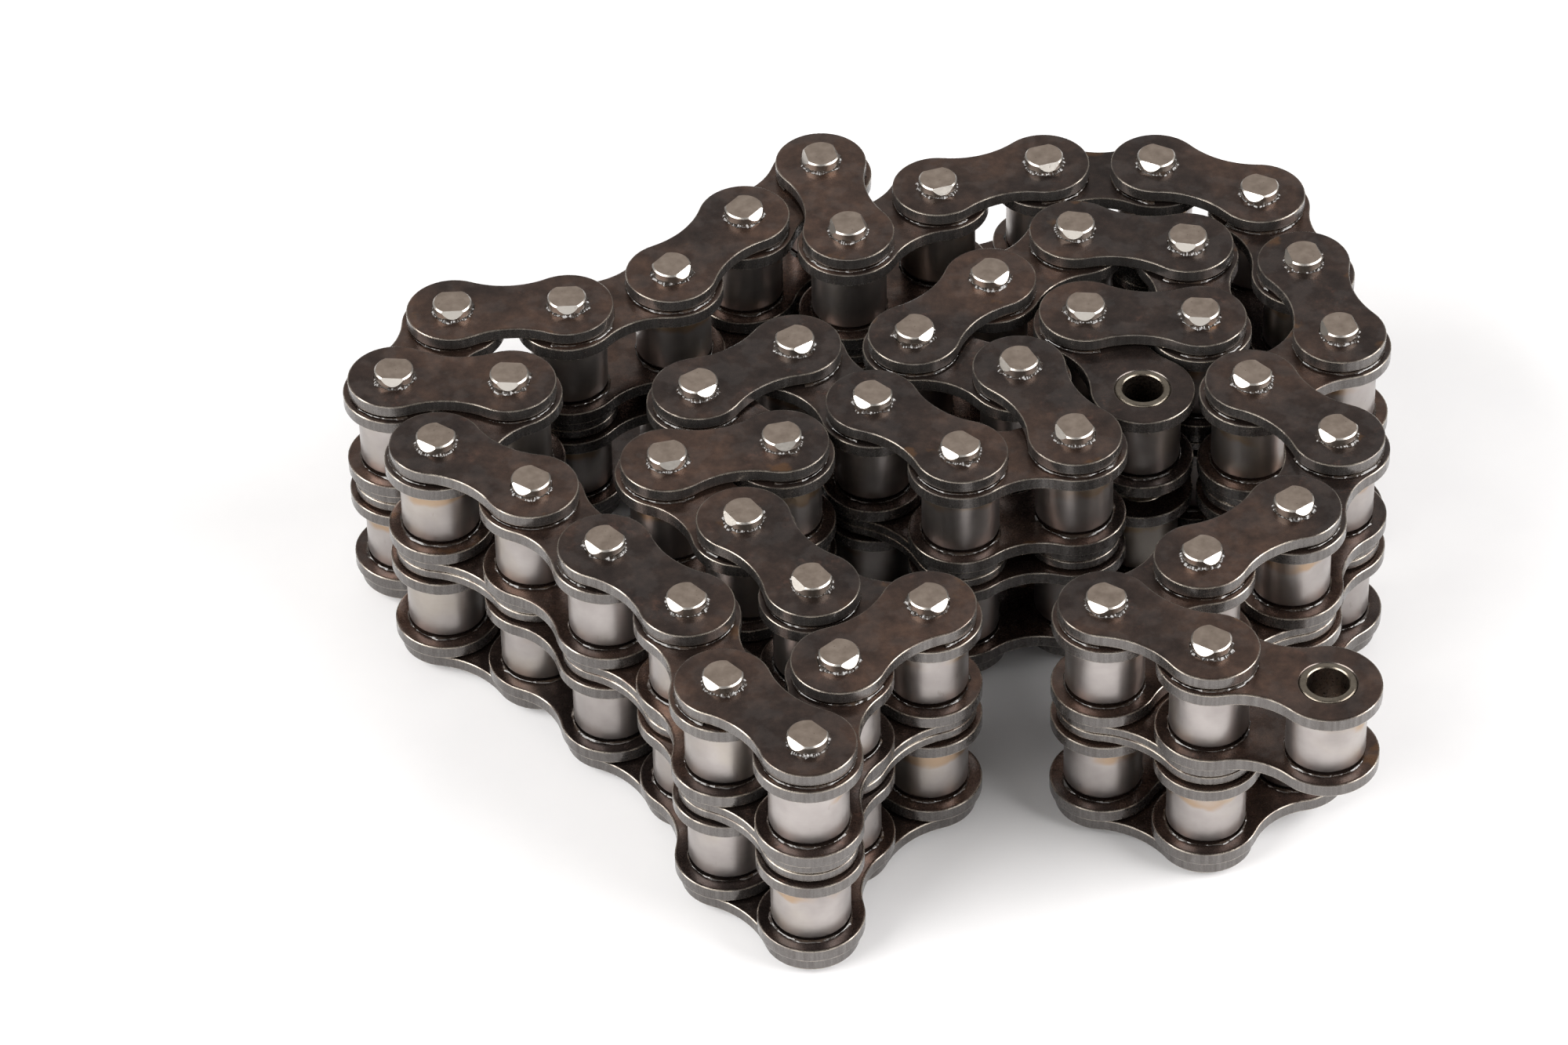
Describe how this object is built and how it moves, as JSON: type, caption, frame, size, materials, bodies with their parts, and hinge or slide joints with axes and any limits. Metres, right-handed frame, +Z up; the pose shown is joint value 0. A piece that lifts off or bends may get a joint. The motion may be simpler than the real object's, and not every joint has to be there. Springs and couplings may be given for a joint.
{
  "type": "roller chain",
  "caption": "Open length of duplex roller chain lying on its side in a loose folded heap, with both strands, their rollers and an open inner link at each end.",
  "frame": {"origin": "centre of the heap's footprint, on the plane that the pin ends rest on", "axes": "+Z up along every pin; +X to the right and +Y to the back as the heap is seen from the front, where the free end lies at the front right"},
  "size_m": [0.1152, 0.1057, 0.0309],
  "materials": {
    "plate_steel": "dark oiled steel with thin bright worn edges",
    "roller_steel": "satin grey steel with small marks and oil film",
    "pin_steel": "bright brownish steel",
    "bush_steel": "straw-coloured polished steel"
  },
  "bodies": {
    "end_inner_link_upper": {"end_inner_plate_upper_bottom": "plate_steel", "end_inner_plate_upper_top": "plate_steel", "end_bush_upper_free": "bush_steel", "end_bush_upper_hinged": "bush_steel"},
    "end_inner_link_lower": {"end_inner_plate_lower_bottom": "plate_steel", "end_inner_plate_lower_top": "plate_steel", "end_bush_lower_free": "bush_steel", "end_bush_lower_hinged": "bush_steel"},
    "first_outer_link": {"first_outer_plate_bottom": "plate_steel", "first_outer_plate_top": "plate_steel", "first_intermediate_plates": "plate_steel", "first_pin_near_end": "pin_steel", "first_pin_far_end": "pin_steel"},
    "inner_link_02": {"inner_link_02": "plate_steel"},
    "outer_link_02": {"outer_link_02": "plate_steel"},
    "inner_link_03": {"inner_link_03": "plate_steel"},
    "outer_link_03": {"outer_link_03": "plate_steel"},
    "inner_link_04": {"inner_link_04": "plate_steel"},
    "outer_link_04": {"outer_link_04": "plate_steel"},
    "inner_link_05": {"inner_link_05": "plate_steel"},
    "outer_link_05": {"outer_link_05": "plate_steel"},
    "inner_link_06": {"inner_link_06": "plate_steel"},
    "outer_link_06": {"outer_link_06": "plate_steel"},
    "inner_link_07": {"inner_link_07": "plate_steel"},
    "outer_link_07": {"outer_link_07": "plate_steel"},
    "inner_link_08": {"inner_link_08": "plate_steel"},
    "outer_link_08": {"outer_link_08": "plate_steel"},
    "inner_link_09": {"inner_link_09": "plate_steel"},
    "outer_link_09": {"outer_link_09": "plate_steel"},
    "inner_link_10": {"inner_link_10": "plate_steel"},
    "outer_link_10": {"outer_link_10": "plate_steel"},
    "inner_link_11": {"inner_link_11": "plate_steel"},
    "outer_link_11": {"outer_link_11": "plate_steel"},
    "inner_link_12": {"inner_link_12": "plate_steel"},
    "outer_link_12": {"outer_link_12": "plate_steel"},
    "inner_link_13": {"inner_link_13": "plate_steel"},
    "outer_link_13": {"outer_link_13": "plate_steel"},
    "inner_link_14": {"inner_link_14": "plate_steel"},
    "outer_link_14": {"outer_link_14": "plate_steel"},
    "inner_link_15": {"inner_link_15": "plate_steel"},
    "outer_link_15": {"outer_link_15": "plate_steel"},
    "inner_link_16": {"inner_link_16": "plate_steel"},
    "outer_link_16": {"outer_link_16": "plate_steel"},
    "inner_link_17": {"inner_link_17": "plate_steel"},
    "outer_link_17": {"outer_link_17": "plate_steel"},
    "inner_link_18": {"inner_link_18": "plate_steel"},
    "outer_link_18": {"outer_link_18": "plate_steel"},
    "inner_link_19": {"inner_link_19": "plate_steel"},
    "outer_link_19": {"outer_link_19": "plate_steel"},
    "inner_link_20": {"inner_link_20": "plate_steel"},
    "outer_link_20": {"outer_link_20": "plate_steel"},
    "inner_link_21": {"inner_link_21": "plate_steel"},
    "outer_link_21": {"outer_link_21": "plate_steel"},
    "inner_link_22": {"inner_link_22": "plate_steel"},
    "outer_link_22": {"outer_link_22": "plate_steel"},
    "inner_link_23": {"inner_link_23": "plate_steel"},
    "end_roller_upper_free": {"end_roller_upper_free": "roller_steel"},
    "end_roller_upper_hinged": {"end_roller_upper_hinged": "roller_steel"},
    "end_roller_lower_free": {"end_roller_lower_free": "roller_steel"},
    "end_roller_lower_hinged": {"end_roller_lower_hinged": "roller_steel"}
  },
  "joints": [
    {"name": "pin_01_hinge", "type": "hinge", "parent": "first_outer_link", "child": "end_inner_link_upper", "pos_m": [0.03479, -0.03417, 0.01543], "axis": [0, 0, -1], "range_deg": [-28, 117]},
    {"name": "pin_01_lower_hinge", "type": "hinge", "parent": "first_outer_link", "child": "end_inner_link_lower", "pos_m": [0.03479, -0.03417, 0.01543], "axis": [0, 0, -1], "range_deg": [-0.9, 180]},
    {"name": "pin_02_hinge", "type": "hinge", "parent": "inner_link_02", "child": "first_outer_link", "pos_m": [0.02414, -0.02725, 0.01543], "axis": [0, 0, 1], "range_deg": [-110, 1]},
    {"name": "pin_03_hinge", "type": "hinge", "parent": "outer_link_02", "child": "inner_link_02", "pos_m": [0.03467, -0.02015, 0.01543], "axis": [0, 0, -1], "range_deg": [-10, 78]},
    {"name": "pin_04_hinge", "type": "hinge", "parent": "inner_link_03", "child": "outer_link_02", "pos_m": [0.04494, -0.01268, 0.01543], "axis": [0, 0, 1], "range_deg": [-37, 100]},
    {"name": "pin_05_hinge", "type": "hinge", "parent": "outer_link_03", "child": "inner_link_03", "pos_m": [0.05051, -0.00127, 0.01543], "axis": [0, 0, -1], "range_deg": [-109, 18]},
    {"name": "pin_06_hinge", "type": "hinge", "parent": "inner_link_04", "child": "outer_link_03", "pos_m": [0.04185, 0.00802, 0.01543], "axis": [0, 0, 1], "range_deg": [-14, 29]},
    {"name": "pin_07_hinge", "type": "hinge", "parent": "outer_link_04", "child": "inner_link_04", "pos_m": [0.05199, 0.01566, 0.01543], "axis": [0, 0, 1], "range_deg": [-1.6, 77]},
    {"name": "pin_08_hinge", "type": "hinge", "parent": "inner_link_05", "child": "outer_link_04", "pos_m": [0.04892, 0.02799, 0.01543], "axis": [0, 0, 1], "range_deg": [-0.85, 109]},
    {"name": "pin_09_hinge", "type": "hinge", "parent": "outer_link_05", "child": "inner_link_05", "pos_m": [0.04479, 0.04, 0.01543], "axis": [0, 0, -1], "range_deg": [-117, 0.55]},
    {"name": "pin_10_hinge", "type": "hinge", "parent": "inner_link_06", "child": "outer_link_05", "pos_m": [0.03347, 0.04576, 0.01543], "axis": [0, 0, -1], "range_deg": [-126, 0.45]},
    {"name": "pin_11_hinge", "type": "hinge", "parent": "outer_link_06", "child": "inner_link_06", "pos_m": [0.02078, 0.0462, 0.01543], "axis": [0, 0, 1], "range_deg": [-0.45, 71]},
    {"name": "pin_12_hinge", "type": "hinge", "parent": "inner_link_07", "child": "outer_link_06", "pos_m": [0.00863, 0.04249, 0.01543], "axis": [0, 0, -1], "range_deg": [-1.55, 0.55]},
    {"name": "pin_13_hinge", "type": "hinge", "parent": "outer_link_07", "child": "inner_link_07", "pos_m": [-0.00164, 0.03503, 0.01543], "axis": [0, 0, 1], "range_deg": [-0.35, 0.8]},
    {"name": "pin_14_hinge", "type": "hinge", "parent": "inner_link_08", "child": "outer_link_07", "pos_m": [-0.0045, 0.0474, 0.01543], "axis": [0, 0, -1], "range_deg": [-0.9, 0.3]},
    {"name": "pin_15_hinge", "type": "hinge", "parent": "outer_link_08", "child": "inner_link_08", "pos_m": [-0.01332, 0.03827, 0.01543], "axis": [0, 0, -1], "range_deg": [-0.6, 0.4]},
    {"name": "pin_16_hinge", "type": "hinge", "parent": "inner_link_09", "child": "outer_link_08", "pos_m": [-0.02149, 0.02854, 0.01543], "axis": [0, 0, 1], "range_deg": [-0.4, 0.45]},
    {"name": "pin_17_hinge", "type": "hinge", "parent": "outer_link_09", "child": "inner_link_09", "pos_m": [-0.03309, 0.02337, 0.01543], "axis": [0, 0, 1], "range_deg": [-0.35, 0.35]},
    {"name": "pin_18_hinge", "type": "hinge", "parent": "inner_link_10", "child": "outer_link_09", "pos_m": [-0.04578, 0.02293, 0.01543], "axis": [0, 0, 1], "range_deg": [-0.3, 0.3]},
    {"name": "pin_19_hinge", "type": "hinge", "parent": "outer_link_10", "child": "inner_link_10", "pos_m": [-0.05194, 0.01182, 0.01543], "axis": [0, 0, -1], "range_deg": [-0.2, 0.3]},
    {"name": "pin_20_hinge", "type": "hinge", "parent": "inner_link_11", "child": "outer_link_10", "pos_m": [-0.03928, 0.01071, 0.01543], "axis": [0, 0, 1], "range_deg": [-0.4, 0.3]},
    {"name": "pin_21_hinge", "type": "hinge", "parent": "outer_link_11", "child": "inner_link_11", "pos_m": [-0.0471, 0.00071, 0.01543], "axis": [0, 0, -1], "range_deg": [-0.25, 0.3]},
    {"name": "pin_22_hinge", "type": "hinge", "parent": "inner_link_12", "child": "outer_link_11", "pos_m": [-0.0367, -0.00658, 0.01543], "axis": [0, 0, -1], "range_deg": [-0.25, 0.4]},
    {"name": "pin_23_hinge", "type": "hinge", "parent": "inner_link_12", "child": "outer_link_12", "pos_m": [-0.02871, -0.01645, 0.01543], "axis": [0, 0, 1], "range_deg": [-0.3, 0.1]},
    {"name": "pin_24_hinge", "type": "hinge", "parent": "outer_link_12", "child": "inner_link_13", "pos_m": [-0.02005, -0.02574, 0.01543], "axis": [0, 0, 1], "range_deg": [-0.3, 0.2]},
    {"name": "pin_25_hinge", "type": "hinge", "parent": "inner_link_13", "child": "outer_link_13", "pos_m": [-0.01633, -0.03788, 0.01543], "axis": [0, 0, 1], "range_deg": [-0.3, 0.2]},
    {"name": "pin_26_hinge", "type": "hinge", "parent": "outer_link_13", "child": "inner_link_14", "pos_m": [-0.00767, -0.04717, 0.01543], "axis": [0, 0, -1], "range_deg": [-0.8, 0.15]},
    {"name": "pin_27_hinge", "type": "hinge", "parent": "inner_link_14", "child": "outer_link_14", "pos_m": [-0.00417, -0.03496, 0.01543], "axis": [0, 0, -1], "range_deg": [-0.9, 0.35]},
    {"name": "pin_28_hinge", "type": "hinge", "parent": "outer_link_14", "child": "inner_link_15", "pos_m": [0.00541, -0.02663, 0.01543], "axis": [0, 0, -1], "range_deg": [-0.6, 0.45]},
    {"name": "pin_29_hinge", "type": "hinge", "parent": "inner_link_15", "child": "outer_link_15", "pos_m": [-0.00679, -0.02313, 0.01543], "axis": [0, 0, 1], "range_deg": [-0.35, 0.9]},
    {"name": "pin_30_hinge", "type": "hinge", "parent": "outer_link_15", "child": "inner_link_16", "pos_m": [-0.0139, -0.0126, 0.01543], "axis": [0, 0, 1], "range_deg": [-0.35, 0.35]},
    {"name": "pin_31_hinge", "type": "hinge", "parent": "inner_link_16", "child": "outer_link_16", "pos_m": [-0.02206, -0.00287, 0.01543], "axis": [0, 0, -1], "range_deg": [-0.2, 0.35]},
    {"name": "pin_32_hinge", "type": "hinge", "parent": "outer_link_16", "child": "inner_link_17", "pos_m": [-0.00964, -0.00023, 0.01543], "axis": [0, 0, 1], "range_deg": [-0.4, 0.6]},
    {"name": "pin_33_hinge", "type": "hinge", "parent": "inner_link_17", "child": "outer_link_17", "pos_m": [-0.01862, 0.00875, 0.01543], "axis": [0, 0, 1], "range_deg": [-0.4, 0.35]},
    {"name": "pin_34_hinge", "type": "hinge", "parent": "outer_link_17", "child": "inner_link_18", "pos_m": [-0.00797, 0.01566, 0.01543], "axis": [0, 0, -1], "range_deg": [-0.65, 0.5]},
    {"name": "pin_35_hinge", "type": "hinge", "parent": "inner_link_18", "child": "outer_link_18", "pos_m": [0.00037, 0.00608, 0.01543], "axis": [0, 0, -1], "range_deg": [-0.85, 0.35]},
    {"name": "pin_36_hinge", "type": "hinge", "parent": "outer_link_18", "child": "inner_link_19", "pos_m": [0.00965, -0.00258, 0.01543], "axis": [0, 0, -1], "range_deg": [-0.6, 0.65]},
    {"name": "pin_37_hinge", "type": "hinge", "parent": "inner_link_19", "child": "outer_link_19", "pos_m": [0.02212, -0.00016, 0.01543], "axis": [0, 0, -1], "range_deg": [-0.75, 1]},
    {"name": "pin_38_hinge", "type": "hinge", "parent": "outer_link_19", "child": "inner_link_20", "pos_m": [0.01655, 0.01126, 0.01543], "axis": [0, 0, 1], "range_deg": [-1, 0.5]},
    {"name": "pin_39_hinge", "type": "hinge", "parent": "inner_link_20", "child": "outer_link_20", "pos_m": [0.00524, 0.01702, 0.01543], "axis": [0, 0, -1], "range_deg": [-1.15, 0.7]},
    {"name": "pin_40_hinge", "type": "hinge", "parent": "outer_link_20", "child": "inner_link_21", "pos_m": [0.0139, 0.02631, 0.01543], "axis": [0, 0, 1], "range_deg": [-1, 1.1]},
    {"name": "pin_41_hinge", "type": "hinge", "parent": "inner_link_21", "child": "outer_link_21", "pos_m": [0.02377, 0.0343, 0.01543], "axis": [0, 0, 1], "range_deg": [-1.1, 0.55]},
    {"name": "pin_42_hinge", "type": "hinge", "parent": "outer_link_21", "child": "inner_link_22", "pos_m": [0.03619, 0.03166, 0.01543], "axis": [0, 0, -1], "range_deg": [-0.75, 1.05]},
    {"name": "pin_43_hinge", "type": "hinge", "parent": "inner_link_22", "child": "outer_link_22", "pos_m": [0.03686, 0.01898, 0.01543], "axis": [0, 0, 1], "range_deg": [-3, 1.2]},
    {"name": "pin_44_hinge", "type": "hinge", "parent": "outer_link_22", "child": "inner_link_23", "pos_m": [0.02423, 0.02031, 0.01543], "axis": [0, 0, -1], "range_deg": [-1.55, 2.1]},
    {"name": "roller_upper_free_spin", "type": "hinge", "parent": "end_inner_link_upper", "child": "end_roller_upper_free", "pos_m": [0.0468, -0.0383, 0.02239], "axis": [0, 0, 1], "continuous": true},
    {"name": "roller_upper_hinged_spin", "type": "hinge", "parent": "end_inner_link_upper", "child": "end_roller_upper_hinged", "pos_m": [0.03479, -0.03417, 0.02239], "axis": [0, 0, 1], "continuous": true},
    {"name": "roller_lower_free_spin", "type": "hinge", "parent": "end_inner_link_lower", "child": "end_roller_lower_free", "pos_m": [0.0448, -0.02635, 0.00847], "axis": [0, 0, 1], "continuous": true},
    {"name": "roller_lower_hinged_spin", "type": "hinge", "parent": "end_inner_link_lower", "child": "end_roller_lower_hinged", "pos_m": [0.03479, -0.03417, 0.00847], "axis": [0, 0, 1], "continuous": true}
  ]
}
